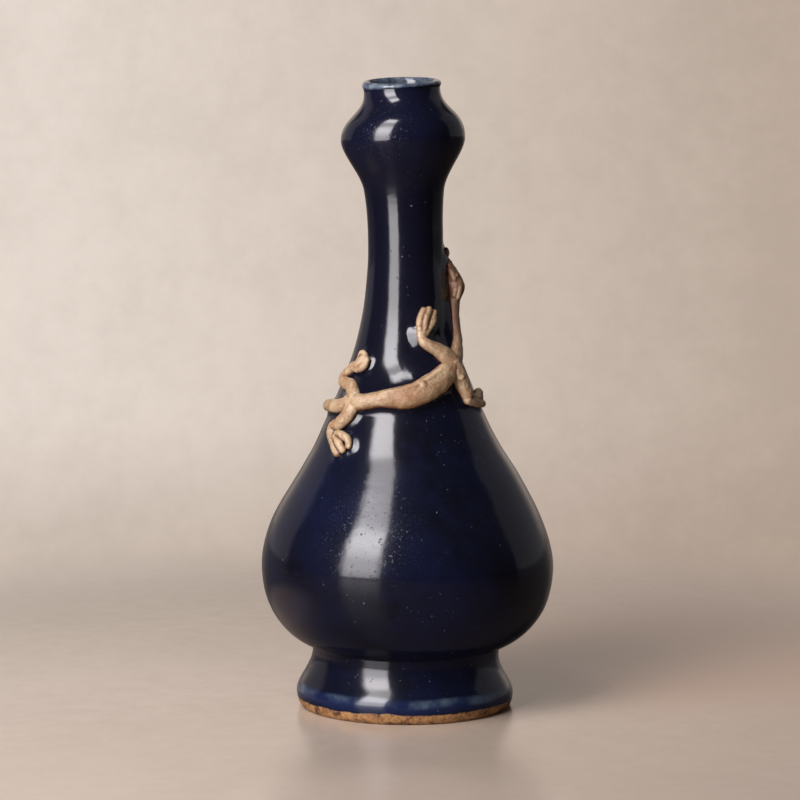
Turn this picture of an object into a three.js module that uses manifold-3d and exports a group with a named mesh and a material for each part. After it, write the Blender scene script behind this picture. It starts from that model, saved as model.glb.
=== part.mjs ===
import * as THREE from 'three';
import { mergeVertices } from 'three/addons/utils/BufferGeometryUtils.js';
import Module from 'manifold-3d';

// A garlic-mouth vase with a dragon applied round the root of its neck.
// Lengths are in millimetres. Z is up from the table, and the front of the vase faces -Y.
// The vessel is thrown in six sections that stack on flat luting seams. The dragon is rolled from
// clay, pressed on the wall and bedded in a thin layer of slip.

// Heights of the thrown sections, from the table up.
const FOOT_HEIGHT = 24.6;
const LOWER_BELLY_HEIGHT = 31.4;
const UPPER_BELLY_HEIGHT = 50;
const NECK_HEIGHT = 101;
const HEAD_HEIGHT = 39;
const COLLAR_HEIGHT = 4;

// Heights of the turns inside those sections.
const FOOT_ROLL_HEIGHT = 6;
const WAIST_BELOW_CREASE = 2.6;
const THIN_RING_BELOW_HEAD = 20;
const HEAD_WIDEST_ABOVE_SEAM = 20;
const LIP_BELOW_TOP = 1.4;

// Outer radii, from the table up.
const REST_RADIUS = 40.6;
const FOOT_RADIUS = 43.4;
const WAIST_RADIUS = 37.4;
const BELLY_RADIUS = 58.4;
const NECK_ROOT_RADIUS = 36.7;
const NECK_RADIUS = 14.9;
const HEAD_SEAM_RADIUS = 15.9;
const HEAD_RADIUS = 24.5;
const COLLAR_RADIUS = 15;
const LIP_RADIUS = 15.6;

// Millimetres that the wall leans in for each millimetre of height, at the root of the neck. Elsewhere
// the lean is measured over this height.
const NECK_ROOT_LEAN = 0.45;
const LEAN_SPAN = 1;

// Handles of the outline's curves, as shares of the height that a curve spans: the one that it leaves by
// and the one that it arrives by.
const FOOT_SWEEP = [0.27, 0.41];
const BOWL_SWEEP = [0.03, 0.715];
const SHOULDER_SWEEP = [0.41, 0.23];
const TAPER_SWEEP = [0.295, 0.49];
const THROAT_SWEEP = [0.5, 0.5];
const HEAD_RISE_SWEEP = [0.262, 0.36];
const HEAD_FALL_SWEEP = [0.54, 0.44];
const LIP_SWEEP = [0.5, 0.5];
const UNDER_ROLL_SWEEP = [0.03, 0.43];

// Handles as shares of the width that a curve spans.
const UNDER_ROLL_WIDTH = 0.57;
const BOWL_WIDTH = 0.215;

// Walls, measured square to the surface.
const FOOT_WALL = 4.8;
const BELLY_WALL = 4.2;
const NECK_WALL = 3.4;
const LIP_WALL = 3;
const FLOOR_THICKNESS = 5;
const FLOOR_TURN_HEIGHT = 6.4;
const FLOOR_FLAT_RADIUS = 28;

// The dragon's datum is the middle of its belly. It lies this far above the root of the neck.
const DRAGON_RISE = 20;
const DRAGON_AZIMUTH = 0;

// Slip between a clay roll and the wall, and between one roll and the next.
const SLIP = 0.3;

// Facets round the vessel, and round a thick roll, a thin roll and a pellet. A roll is cut this many
// times between two of its points.
const VESSEL_FACETS = 48;
const ROLL_FACETS = 8;
const TOE_FACETS = 6;
const PELLET_FACETS = 8;
const STEPS_PER_SPAN = 2;

const CREASE_Z = FOOT_HEIGHT;
const WIDEST_Z = CREASE_Z + LOWER_BELLY_HEIGHT;
const NECK_ROOT_Z = WIDEST_Z + UPPER_BELLY_HEIGHT;
const HEAD_SEAM_Z = NECK_ROOT_Z + NECK_HEIGHT;
const COLLAR_Z = HEAD_SEAM_Z + HEAD_HEIGHT;
const TOP_Z = COLLAR_Z + COLLAR_HEIGHT;
const WAIST_Z = CREASE_Z - WAIST_BELOW_CREASE;
const THIN_RING_Z = HEAD_SEAM_Z - THIN_RING_BELOW_HEAD;
const HEAD_WIDEST_Z = HEAD_SEAM_Z + HEAD_WIDEST_ABOVE_SEAM;
const LIP_Z = TOP_Z - LIP_BELOW_TOP;
const FLOOR_Z = CREASE_Z + FLOOR_THICKNESS;
const DRAGON_Z = NECK_ROOT_Z + DRAGON_RISE;

const glaze = { color: 0x141842, roughness: 0.12, metalness: 0 };
const paleGlaze = { color: 0x2a3a6a, roughness: 0.15, metalness: 0 };
const biscuit = { color: 0xcfa678, roughness: 0.65, metalness: 0 };
const darkBiscuit = { color: 0x7a4a30, roughness: 0.6, metalness: 0 };

// Outline of the vessel

const at = (radius, z) => new THREE.Vector2(radius, z);

// A turn between two rings where the wall stands upright.
function swell(from, to, [leave, arrive]) {
  const rise = to.y - from.y;
  const first = at(from.x, from.y + leave * rise);
  const second = at(to.x, to.y - arrive * rise);
  return new THREE.CubicBezierCurve(from, first, second, to);
}

const rest = at(REST_RADIUS, 0);
const footRoll = at(FOOT_RADIUS, FOOT_ROLL_HEIGHT);
const waist = at(WAIST_RADIUS, WAIST_Z);
const crease = at(WAIST_RADIUS, CREASE_Z);
const widest = at(BELLY_RADIUS, WIDEST_Z);
const neckRoot = at(NECK_ROOT_RADIUS, NECK_ROOT_Z);
const thinRing = at(NECK_RADIUS, THIN_RING_Z);
const headSeam = at(HEAD_SEAM_RADIUS, HEAD_SEAM_Z);
const headWidest = at(HEAD_RADIUS, HEAD_WIDEST_Z);
const collar = at(COLLAR_RADIUS, COLLAR_Z);
const lip = at(LIP_RADIUS, LIP_Z);

// The foot's edge rolls under to the resting ring, and the foot sweeps in to the waist.
function rolledEdge() {
  const [leave, arrive] = UNDER_ROLL_SWEEP;
  const out = UNDER_ROLL_WIDTH * (FOOT_RADIUS - REST_RADIUS);
  const under = at(REST_RADIUS + out, leave * FOOT_ROLL_HEIGHT);
  const side = at(FOOT_RADIUS, arrive * FOOT_ROLL_HEIGHT);
  return new THREE.CubicBezierCurve(rest, under, side, footRoll);
}

// The bowl leaves the crease nearly flat and fills out early.
function bowlCurve() {
  const out = BOWL_WIDTH * (BELLY_RADIUS - WAIST_RADIUS);
  const [leave, arrive] = BOWL_SWEEP.map((share) => share * LOWER_BELLY_HEIGHT);
  const low = at(WAIST_RADIUS + out, CREASE_Z + leave);
  const high = at(BELLY_RADIUS, WIDEST_Z - arrive);
  return new THREE.CubicBezierCurve(crease, low, high, widest);
}

function shoulderCurve() {
  const [leave, arrive] = SHOULDER_SWEEP.map((share) => share * UPPER_BELLY_HEIGHT);
  const low = at(BELLY_RADIUS, WIDEST_Z + leave);
  const high = at(NECK_ROOT_RADIUS + NECK_ROOT_LEAN * arrive, NECK_ROOT_Z - arrive);
  return new THREE.CubicBezierCurve(widest, low, high, neckRoot);
}

function taperCurve() {
  const rise = THIN_RING_Z - NECK_ROOT_Z;
  const [leave, arrive] = TAPER_SWEEP.map((share) => share * rise);
  const low = at(NECK_ROOT_RADIUS - NECK_ROOT_LEAN * leave, NECK_ROOT_Z + leave);
  const high = at(NECK_RADIUS, THIN_RING_Z - arrive);
  return new THREE.CubicBezierCurve(neckRoot, low, high, thinRing);
}

const OUTLINE = {
  foot: [rolledEdge(), swell(footRoll, waist, FOOT_SWEEP), new THREE.LineCurve(waist, crease)],
  lowerBelly: [bowlCurve()],
  upperBelly: [shoulderCurve()],
  neck: [taperCurve(), swell(thinRing, headSeam, THROAT_SWEEP)],
  head: [swell(headSeam, headWidest, HEAD_RISE_SWEEP), swell(headWidest, collar, HEAD_FALL_SWEEP)],
  collar: [swell(collar, lip, LIP_SWEEP)],
};

// Rings cut from each curve of a section, even along the curve.
const RINGS = {
  foot: [3, 4, 1],
  lowerBelly: [8],
  upperBelly: [7],
  neck: [8, 2],
  head: [5, 5],
  collar: [2],
};
const INNER_RINGS = { foot: 2, lowerBelly: 3, upperBelly: 3, neck: 4, head: 5, round: 2 };

// Samples along a run of curves, without repeating the points where two curves meet.
function trace(curves, steps) {
  const points = curves.flatMap((curve, i) => curve.getSpacedPoints(steps[i]).slice(0, -1));
  points.push(curves.at(-1).getPoint(1));
  return points;
}

const wallSections = ['lowerBelly', 'upperBelly', 'neck', 'head'];
const wallCurves = wallSections.flatMap((section) => OUTLINE[section]);
const wallRings = wallSections.flatMap((section) => RINGS[section]);

// The facets of the outer wall from the crease to the collar, and a fine trace of the same wall.
const facetedWall = trace(wallCurves, wallRings);
const outerWall = trace(wallCurves, wallRings.map((rings) => 6 * rings));

// Radius of a rising outline at one height, by straight steps between its samples.
function radiusAt(outline, z) {
  const next = outline.findIndex((point) => point.y >= z);
  if (next <= 0) {
    return next === 0 ? outline[0].x : outline.at(-1).x;
  }
  const low = outline[next - 1];
  const high = outline[next];
  const share = (z - low.y) / (high.y - low.y);
  return low.x + share * (high.x - low.x);
}

// The outline moved square to itself: a positive distance moves it out, a negative one in.
function offset(outline, distance) {
  return outline.map((point, i) => {
    const before = outline[Math.max(i - 1, 0)];
    const after = outline[Math.min(i + 1, outline.length - 1)];
    const along = after.clone().sub(before).normalize();
    const reach = distance(point.y);
    return at(point.x + reach * along.y, point.y - reach * along.x);
  });
}

// The wall thins from the belly to the neck's top.
function wallThickness(z) {
  const share = THREE.MathUtils.clamp((z - NECK_ROOT_Z) / NECK_HEIGHT, 0, 1);
  return THREE.MathUtils.lerp(BELLY_WALL, NECK_WALL, share);
}

const innerWall = offset(outerWall, (z) => -wallThickness(z));

const inside = (z) => at(radiusAt(innerWall, z), z);

// Inner rings between two heights, from the top one down.
function insideRings(topZ, bottomZ, steps) {
  const rings = [];
  for (let i = 0; i <= steps; i += 1) {
    rings.push(inside(THREE.MathUtils.lerp(topZ, bottomZ, i / steps)));
  }
  return rings;
}

// Solids

// Revolves a profile of (radius, height) points about the vase's axis.
function revolve(profile) {
  const geometry = new THREE.LatheGeometry(profile, VESSEL_FACETS);
  geometry.rotateX(Math.PI / 2);
  return geometry;
}

const closed = (profile) => [...profile, profile[0].clone()];

function footRing() {
  const outer = trace(OUTLINE.foot, RINGS.foot);
  const recessTop = WAIST_RADIUS - FOOT_WALL;
  const recess = swell(at(REST_RADIUS - FOOT_WALL, 0), at(recessTop, WAIST_Z), FOOT_SWEEP);
  const inner = [at(recessTop, CREASE_Z), ...recess.getSpacedPoints(INNER_RINGS.foot).reverse()];
  return revolve(closed([...outer, ...inner]));
}

// The bowl's inside turns from the wall into a flat floor.
function bowlFloor() {
  const turn = inside(FLOOR_Z + FLOOR_TURN_HEIGHT);
  const below = inside(turn.y - LEAN_SPAN);
  const lean = (turn.x - below.x) / LEAN_SPAN;
  const corner = at(turn.x - lean * FLOOR_TURN_HEIGHT, FLOOR_Z);
  const flat = at(Math.min(FLOOR_FLAT_RADIUS, corner.x), FLOOR_Z);
  const curve = new THREE.QuadraticBezierCurve(turn, corner, flat);
  return [...curve.getPoints(INNER_RINGS.round + 1), at(0, FLOOR_Z)];
}

function lowerBelly() {
  const outer = trace(OUTLINE.lowerBelly, RINGS.lowerBelly);
  const wall = insideRings(WIDEST_Z, FLOOR_Z + FLOOR_TURN_HEIGHT, INNER_RINGS.lowerBelly);
  const inner = wall.slice(0, -1);
  return revolve([at(0, CREASE_Z), ...outer, ...inner, ...bowlFloor()]);
}

function upperBelly() {
  const outer = trace(OUTLINE.upperBelly, RINGS.upperBelly);
  const inner = insideRings(NECK_ROOT_Z, WIDEST_Z, INNER_RINGS.upperBelly);
  return revolve(closed([...outer, ...inner]));
}

function neck() {
  const outer = trace(OUTLINE.neck, RINGS.neck);
  const inner = insideRings(HEAD_SEAM_Z, NECK_ROOT_Z, INNER_RINGS.neck);
  return revolve(closed([...outer, ...inner]));
}

function garlicHead() {
  const outer = trace(OUTLINE.head, RINGS.head);
  const inner = insideRings(COLLAR_Z, HEAD_SEAM_Z, INNER_RINGS.head);
  return revolve(closed([...outer, ...inner]));
}

// The collar turns out into a rounded lip round the mouth.
function mouthCollar() {
  const outer = trace(OUTLINE.collar, RINGS.collar);
  const bore = inside(COLLAR_Z);
  const mouth = at(LIP_RADIUS - LIP_WALL, LIP_Z);
  const lipTop = at(LIP_RADIUS - LIP_WALL / 2, TOP_Z);
  const round = (from, corner, to) => {
    const curve = new THREE.QuadraticBezierCurve(from, corner, to);
    return curve.getPoints(INNER_RINGS.round).slice(1);
  };
  const over = round(lip, at(LIP_RADIUS, TOP_Z), lipTop);
  const under = round(lipTop, at(mouth.x, TOP_Z), mouth);
  return revolve(closed([...outer, ...over, ...under, bore]));
}

// Clay rolls on the wall

const wasm = await Module();
wasm.setup();

function toSolid(geometry) {
  const bare = geometry.clone();
  bare.deleteAttribute('normal');
  bare.deleteAttribute('uv');
  const merged = mergeVertices(bare, 1e-5);
  const index = merged.index.array;
  const kept = [];
  for (let i = 0; i < index.length; i += 3) {
    const [a, b, c] = [index[i], index[i + 1], index[i + 2]];
    if (a !== b && b !== c && c !== a) {
      kept.push(a, b, c);
    }
  }
  const vertProperties = new Float32Array(merged.attributes.position.array);
  const triVerts = new Uint32Array(kept);
  return new wasm.Manifold(new wasm.Mesh({ numProp: 3, vertProperties, triVerts }));
}

function toGeometry(solid) {
  const mesh = solid.getMesh();
  const geometry = new THREE.BufferGeometry();
  geometry.setAttribute('position', new THREE.BufferAttribute(mesh.vertProperties, 3));
  geometry.setIndex(new THREE.BufferAttribute(mesh.triVerts, 1));
  geometry.computeVertexNormals();
  return geometry;
}

// A place over the wall: azimuth in degrees from the front, height over the dragon's datum, and
// distance out from the glaze.
function place(azimuth, height, lift) {
  const turn = THREE.MathUtils.degToRad(azimuth + DRAGON_AZIMUTH);
  const z = DRAGON_Z + height;
  const radius = radiusAt(outerWall, z) + lift;
  return new THREE.Vector3(radius * Math.sin(turn), -radius * Math.cos(turn), z);
}

// Direction square to the wall under a point.
function wallNormal(point) {
  const above = radiusAt(outerWall, point.z + LEAN_SPAN / 2);
  const below = radiusAt(outerWall, point.z - LEAN_SPAN / 2);
  const lean = (below - above) / LEAN_SPAN;
  const radius = Math.hypot(point.x, point.y);
  return new THREE.Vector3(point.x / radius, point.y / radius, lean).normalize();
}

// A closed loft through [azimuth, height, lift, half width, half thickness] points. The width lies
// along the wall and the thickness stands off it. Both ends are rounded.
function roll(points, facets, tipSteps, grow) {
  const centres = points.map(([azimuth, height, lift]) => place(azimuth, height, lift));
  const girths = points.map(([, , , width, thickness]) => new THREE.Vector3(width, thickness, 0));
  const path = new THREE.CatmullRomCurve3(centres);
  const girth = new THREE.CatmullRomCurve3(girths);
  const steps = STEPS_PER_SPAN * (points.length - 1);
  const rings = [];
  const addRing = (t, along, share) => {
    const tangent = path.getTangent(t);
    const centre = path.getPoint(t).addScaledVector(tangent, along);
    const out = wallNormal(centre);
    out.addScaledVector(tangent, -out.dot(tangent)).normalize();
    const side = tangent.clone().cross(out);
    const size = girth.getPoint(t);
    const ring = [];
    for (let i = 0; i < facets; i += 1) {
      const angle = (2 * Math.PI * i) / facets;
      const point = centre.clone();
      point.addScaledVector(side, share * (size.x + grow) * Math.cos(angle));
      point.addScaledVector(out, share * (size.y + grow) * Math.sin(angle));
      ring.push(point);
    }
    rings.push(ring);
    return centre;
  };
  const tipReach = (t) => girth.getPoint(t).y + grow;
  for (let i = tipSteps; i > 0; i -= 1) {
    const angle = (Math.PI / 2) * (i / (tipSteps + 1));
    addRing(0, -tipReach(0) * Math.sin(angle), Math.cos(angle));
  }
  for (let i = 0; i <= steps; i += 1) {
    addRing(i / steps, 0, 1);
  }
  for (let i = 1; i <= tipSteps; i += 1) {
    const angle = (Math.PI / 2) * (i / (tipSteps + 1));
    addRing(1, tipReach(1) * Math.sin(angle), Math.cos(angle));
  }
  const first = path.getPoint(0).addScaledVector(path.getTangent(0), -tipReach(0));
  const last = path.getPoint(1).addScaledVector(path.getTangent(1), tipReach(1));
  return skin(rings, first, last);
}

// Joins rings of equal counts into a closed surface with a point at each end.
function skin(rings, first, last) {
  const facets = rings[0].length;
  const positions = [first, ...rings.flat(), last].flatMap((point) => point.toArray());
  const end = rings.length * facets + 1;
  const corner = (ring, i) => 1 + ring * facets + (i % facets);
  const index = [];
  for (let i = 0; i < facets; i += 1) {
    index.push(0, corner(0, i), corner(0, i + 1));
    index.push(end, corner(rings.length - 1, i + 1), corner(rings.length - 1, i));
    for (let ring = 0; ring < rings.length - 1; ring += 1) {
      const [a, b] = [corner(ring, i), corner(ring, i + 1)];
      const [c, d] = [corner(ring + 1, i), corner(ring + 1, i + 1)];
      index.push(a, d, b, a, c, d);
    }
  }
  const geometry = new THREE.BufferGeometry();
  geometry.setAttribute('position', new THREE.Float32BufferAttribute(positions, 3));
  geometry.setIndex(index);
  return toSolid(geometry);
}

const thick = (...points) => (grow) => roll(points, ROLL_FACETS, 2, grow);
const slim = (...points) => (grow) => roll(points, TOE_FACETS, 1, grow);

function pellet(azimuth, height, lift, radius) {
  return (grow) => {
    const ball = new THREE.SphereGeometry(radius + grow, PELLET_FACETS, PELLET_FACETS - 2);
    const centre = place(azimuth, height, lift);
    ball.translate(centre.x, centre.y, centre.z);
    return toSolid(ball);
  };
}

// The dragon. Every point is [azimuth, height, lift, half width, half thickness].

const torso = [
  thick(
    [-48, -1.2, 2.2, 3.3, 2.9],
    [-41, -0.9, 2.5, 3.6, 3.1],
    [-33, -0.4, 2.6, 3.3, 3.2],
    [-20, 1, 2.7, 3.4, 3.3],
    [-9, 1.6, 2.8, 4.3, 3.5],
    [5, 2.7, 2.9, 4.9, 3.6],
    [17, 5.1, 2.8, 5.1, 3.6],
    [27, 7.4, 2.7, 5, 3.5],
    [36, 10, 2.7, 4.5, 3.4],
    [48, 13.2, 2.5, 3.8, 3.1],
  ),
];

const foreLegUpper = [
  thick(
    [45, 15, 2.5, 3.9, 3],
    [42.4, 16.2, 2.5, 3.8, 3],
    [33, 19.3, 2.2, 3, 2.6],
    [24.5, 21, 2, 2.4, 2.3],
    [18.5, 22.8, 1.8, 2.2, 2.1],
    [16.8, 25.6, 1.7, 2, 1.9],
  ),
  thick([17.4, 25.6, 1.4, 2.2, 1.8], [21.6, 28.8, 1.4, 3, 1.8], [27.6, 32, 1.2, 2.9, 1.5]),
  slim([15.4, 26, 1.8, 1.4, 1.4], [15.8, 30.5, 2.1, 1.6, 1.5], [22.6, 34.6, 1.4, 1.4, 1.2]),
  slim([18.8, 26.2, 2.2, 1.3, 1.4], [22.4, 31, 2.6, 1.6, 1.5], [29.6, 35, 1.7, 1.5, 1.2]),
  slim([21.4, 25.6, 1.9, 1.4, 1.4], [31, 30.6, 2.1, 1.8, 1.5], [36.6, 33.6, 1.5, 1.4, 1.2]),
];

const foreLegLower = [
  thick(
    [49.5, 10.6, 2.8, 3.6, 3.1],
    [50.6, 8.4, 2.8, 3.6, 3.1],
    [52.6, 5.4, 2.7, 3.3, 2.9],
    [54.6, 1.4, 2.4, 2.7, 2.6],
  ),
  slim([54, -0.4, 2.1, 2.2, 2.1], [64, -2.1, 2, 2, 1.9], [76.5, -3.4, 1.7, 1.7, 1.6]),
  slim([56, 0.4, 2.2, 1.7, 1.8], [66, -0.6, 2.2, 1.6, 1.7], [76, -0.8, 2, 1.6, 1.6]),
  slim([70, 0, 2.1, 1.5, 1.6], [76, 0.9, 2.3, 1.9, 1.8], [80, 0.4, 2, 1.7, 1.6]),
];

const hindLegUpper = [
  thick(
    [-46, 2, 2.4, 2.9, 2.6],
    [-52, 4.9, 2.3, 2.8, 2.5],
    [-66, 5.9, 2, 2.5, 2.2],
    [-69, 7.8, 1.8, 2.2, 2],
    [-64.5, 9.9, 1.7, 2, 1.9],
    [-57, 12.3, 1.8, 2.1, 1.9],
  ),
  thick([-55, 12, 1.8, 2.2, 1.9], [-48.4, 13.8, 2.2, 2.6, 2.1], [-45, 15.8, 1.9, 2.2, 1.9]),
  slim([-51, 15, 2.2, 1.3, 1.4], [-48.4, 17.6, 2.1, 1.4, 1.4], [-45, 17.2, 2, 1.3, 1.3]),
  slim([-51, 11.4, 1.9, 1.5, 1.6], [-44, 12.6, 2.2, 1.7, 1.6], [-41.6, 15.2, 1.9, 1.5, 1.4]),
];

const hindLegLower = [
  thick(
    [-43, -3, 2.6, 3, 2.8],
    [-44.5, -5.6, 2.7, 3, 2.7],
    [-50, -9.4, 2.4, 2.6, 2.4],
    [-56, -10.9, 2.1, 2.2, 2.1],
    [-55.4, -13.6, 2, 2.1, 2],
    [-51, -16.4, 2, 2.2, 2],
  ),
  slim([-51.4, -15.2, 2, 2, 1.9], [-48.6, -18.4, 2, 1.9, 1.8], [-46, -20.8, 1.5, 1.5, 1.4]),
  slim([-49.4, -14.6, 2.4, 1.7, 1.7], [-45, -16.6, 2.6, 1.7, 1.7], [-41.6, -19, 1.9, 1.5, 1.4]),
  slim([-49.4, -13.4, 2.1, 1.5, 1.6], [-42, -14, 2.5, 1.7, 1.7], [-38, -17, 1.8, 1.5, 1.4]),
];

const dragonNeck = [
  thick(
    [52, 15, 2.6, 3.4, 2.9],
    [60, 17.8, 2.2, 3, 2.5],
    [69, 21.5, 1.8, 2.8, 2.1],
    [78, 26.5, 1.7, 2.7, 1.8],
    [85, 31, 1.9, 2.7, 1.9],
    [90, 35, 2.3, 2.9, 2.3],
    [93.5, 39.5, 3, 3.2, 2.9],
  ),
];

const dragonHead = [
  thick(
    [92.5, 38.4, 3, 3.1, 2.8],
    [94, 42, 3.8, 4.1, 3.9],
    [96, 45.6, 3.3, 3.7, 3.3],
    [98, 49, 2.4, 3, 2.4],
    [100, 52.4, 1.3, 2.1, 1.6],
  ),
  slim([86, 45.4, 3.6, 1.3, 1.3], [88, 48.4, 2.8, 1.3, 1.2]),
  slim([104, 45.4, 3.6, 1.3, 1.3], [104, 48.4, 2.8, 1.3, 1.2]),
];

const earFront = [slim([88, 43, 5.6, 1.2, 1.1], [84.5, 40.6, 5.4, 1.1, 1], [82.5, 38, 4.4, 0.8, 0.8])];
const earBack = [slim([102, 43, 5.6, 1.2, 1.1], [106, 40.6, 5.4, 1.1, 1], [109, 38, 4.4, 0.8, 0.8])];
const eyeFront = [pellet(87.5, 46.6, 4.7, 1)];
const eyeBack = [pellet(104.5, 46.6, 4.7, 1)];
const pearl = [slim([98, 54.2, 1.1, 1.5, 1.2], [99, 55.4, 1.2, 1.7, 1.4], [100, 56.6, 1.1, 1.5, 1.2])];

const tail = [
  thick(
    [-50, -1.6, 2.1, 2.7, 2.3],
    [-64, -3.6, 2.1, 2.8, 2.4],
    [-75, -4, 1.8, 2.6, 2.2],
    [-92, -5.2, 1.5, 2.4, 1.9],
    [-112, -6, 1.4, 2.2, 1.8],
    [-132, -4, 1.5, 2.1, 1.8],
    [-148, 2.5, 1.5, 2, 1.8],
    [-158, 11, 1.4, 1.9, 1.7],
    [-166, 19.5, 1.4, 1.8, 1.6],
    [-178, 27, 1.3, 1.6, 1.5],
    [-195, 30.5, 1.2, 1.5, 1.4],
    [-211, 27.5, 1.2, 1.4, 1.3],
    [-209, 22.5, 1.2, 1.3, 1.2],
    [-198, 22, 1.1, 1.1, 1.1],
  ),
];

const tailCurl = [
  slim(
    [-156, 10, 1.4, 1.7, 1.5],
    [-149, 17, 1.3, 1.6, 1.4],
    [-138, 22, 1.2, 1.5, 1.3],
    [-124, 22.5, 1.2, 1.3, 1.2],
    [-120, 18, 1.1, 1.2, 1.1],
    [-130, 16, 1.1, 1, 1],
  ),
];

// What presses into the clay: the wall with its layer of slip, as a plain solid of revolution.
function beddedWall() {
  const bedded = offset(facetedWall, () => SLIP);
  const profile = [at(0, bedded[0].y), ...bedded, at(0, bedded.at(-1).y)];
  return toSolid(revolve(profile));
}

const union = (rolls, grow) => rolls.map((shape) => shape(grow)).reduce((a, b) => a.add(b));

// The piece itself is the largest body that is left. Smaller ones are offcuts.
function largest(solid) {
  const bodies = solid.decompose();
  return bodies.reduce((a, b) => (b.volume() > a.volume() ? b : a));
}

// Each piece is laid over the ones before it, so it is hollowed by them and by the wall.
function layDragon(pieces) {
  const wall = beddedWall();
  const laid = [];
  return pieces.map(([name, rolls]) => {
    let solid = union(rolls, 0).subtract(wall);
    for (const earlier of laid) {
      solid = solid.subtract(earlier);
    }
    laid.push(union(rolls, SLIP));
    return [name, toGeometry(largest(solid))];
  });
}

const vase = new THREE.Group();

function addPiece(name, geometry, finish) {
  const mesh = new THREE.Mesh(geometry, new THREE.MeshStandardMaterial(finish));
  mesh.name = name;
  vase.add(mesh);
}

addPiece('foot_ring', footRing(), paleGlaze);
addPiece('lower_belly', lowerBelly(), glaze);
addPiece('upper_belly', upperBelly(), glaze);
addPiece('neck', neck(), glaze);
addPiece('garlic_head', garlicHead(), glaze);
addPiece('mouth_collar', mouthCollar(), paleGlaze);

const dragon = layDragon([
  ['dragon_torso', torso],
  ['fore_leg_upper', foreLegUpper],
  ['fore_leg_lower', foreLegLower],
  ['hind_leg_upper', hindLegUpper],
  ['hind_leg_lower', hindLegLower],
  ['dragon_neck', dragonNeck],
  ['dragon_head', dragonHead],
  ['ear_front', earFront],
  ['ear_back', earBack],
  ['eye_front', eyeFront],
  ['eye_back', eyeBack],
  ['pearl_pellet', pearl],
  ['dragon_tail', tail],
  ['tail_curl', tailCurl],
]);

const darkPieces = ['eye_front', 'eye_back'];
for (const [name, geometry] of dragon) {
  addPiece(name, geometry, darkPieces.includes(name) ? darkBiscuit : biscuit);
}

export default vase;
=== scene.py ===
import math
from typing import NamedTuple

import bpy
import numpy as np
from mathutils import Matrix, Vector, noise
from mathutils.bvhtree import BVHTree


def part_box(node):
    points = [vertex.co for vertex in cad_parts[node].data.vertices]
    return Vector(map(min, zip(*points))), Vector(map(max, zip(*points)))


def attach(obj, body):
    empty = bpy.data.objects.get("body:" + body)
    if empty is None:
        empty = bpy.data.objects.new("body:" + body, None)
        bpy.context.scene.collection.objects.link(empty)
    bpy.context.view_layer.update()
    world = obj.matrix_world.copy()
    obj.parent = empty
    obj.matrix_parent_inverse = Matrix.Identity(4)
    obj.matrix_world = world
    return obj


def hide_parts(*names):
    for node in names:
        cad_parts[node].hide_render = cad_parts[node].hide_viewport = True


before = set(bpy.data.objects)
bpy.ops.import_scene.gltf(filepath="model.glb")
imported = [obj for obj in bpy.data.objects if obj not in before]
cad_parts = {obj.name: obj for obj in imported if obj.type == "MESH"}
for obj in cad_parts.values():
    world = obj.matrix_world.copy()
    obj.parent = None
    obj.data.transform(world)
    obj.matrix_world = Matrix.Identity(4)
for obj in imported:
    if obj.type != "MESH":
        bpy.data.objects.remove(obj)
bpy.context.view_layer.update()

# Lengths are in millimetres up to the making of a mesh, and in metres from there on, also in the materials and the
# studio. Heights rise from the table, and the front of the vase faces -Y. An azimuth is in degrees from the front,
# positive to the right.
MM = 0.001

# Heights of the seams between the thrown sections, from the frame.
CREASE_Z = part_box("foot_ring")[1].z / MM
WIDEST_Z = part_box("lower_belly")[1].z / MM
NECK_ROOT_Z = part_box("upper_belly")[1].z / MM
HEAD_SEAM_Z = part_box("neck")[1].z / MM
COLLAR_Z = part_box("garlic_head")[1].z / MM
TOP_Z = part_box("mouth_collar")[1].z / MM

# Outer radii that the frame gives.
FOOT_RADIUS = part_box("foot_ring")[1].x / MM
BELLY_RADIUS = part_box("lower_belly")[1].x / MM
NECK_ROOT_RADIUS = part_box("neck")[1].x / MM
HEAD_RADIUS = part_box("garlic_head")[1].x / MM
LIP_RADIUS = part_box("mouth_collar")[1].x / MM

# The rest of the outline: heights, radii, and the lean of the wall at the root of the neck, in millimetres for each
# millimetre of height.
FOOT_ROLL_Z = 6
WAIST_Z = CREASE_Z - 2.6
THIN_RING_Z = HEAD_SEAM_Z - 20
HEAD_WIDEST_Z = HEAD_SEAM_Z + 20
LIP_Z = TOP_Z - 1.4
REST_RADIUS = 40.6
WAIST_RADIUS = 37.4
NECK_RADIUS = 14.9
HEAD_SEAM_RADIUS = 15.9
COLLAR_RADIUS = 15
NECK_ROOT_LEAN = 0.45

# Handles of the outline's curves, as shares of the height that a curve spans: the one that it leaves by and the one
# that it arrives by.
FOOT_SWEEP = (0.27, 0.41)
BOWL_SWEEP = (0.03, 0.715)
SHOULDER_SWEEP = (0.41, 0.23)
TAPER_SWEEP = (0.295, 0.49)
HEAD_FALL_SWEEP = (0.54, 0.44)

# Handles as shares of the width that a curve spans.
UNDER_ROLL_WIDTH = 0.57
BOWL_WIDTH = 0.215

# Handles in millimetres. Those of the throat's end, the head's start and the lip are (out, up), the others heights.
UNDER_ROLL_HANDLES = (0.18, 2.6)
THROAT_LEAVES = 7
THROAT_ARRIVES = (0.85, 5.3)
HEAD_LEAVES = (1.0, 6.3)
HEAD_ARRIVES = 5.4
COLLAR_HANDLES = (1.5, 1.2)
LIP_HANDLE = (0.8, 0.7)

# Walls, measured square to the surface, and the floor of the bowl.
FOOT_WALL = 4.8
BELLY_WALL = 4.2
NECK_WALL = 3.4
LIP_WALL = 3
FLOOR_Z = CREASE_Z + 5
FLOOR_TURN_HEIGHT = 6.4
FLOOR_FLAT_RADIUS = 28

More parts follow.
